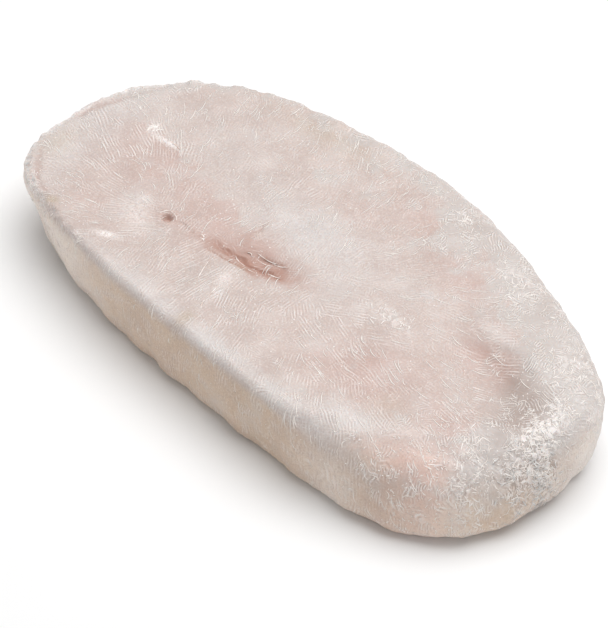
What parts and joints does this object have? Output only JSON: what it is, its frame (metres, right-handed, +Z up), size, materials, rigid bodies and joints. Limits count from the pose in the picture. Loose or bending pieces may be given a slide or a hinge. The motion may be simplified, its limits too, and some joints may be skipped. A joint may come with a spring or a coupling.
{
  "type": "frozen hake steak",
  "caption": "Frozen, ice-glazed hake steak: a thick D-shaped slab of white fish with a flat cut face, straight front, arched back and rounded nose.",
  "frame": {"origin": "middle of the outer box, on the flat underside", "axes": "+X along the steak towards its rounded nose, +Y towards its arched back, +Z up out of the cut face"},
  "size_m": [0.1352, 0.0694, 0.0208],
  "materials": {
    "flesh": "frozen white fish flesh under a thin icy glaze, pale pink to off-white"
  },
  "bodies": {
    "root": {"hake_steak": "flesh"}
  },
  "joints": []
}
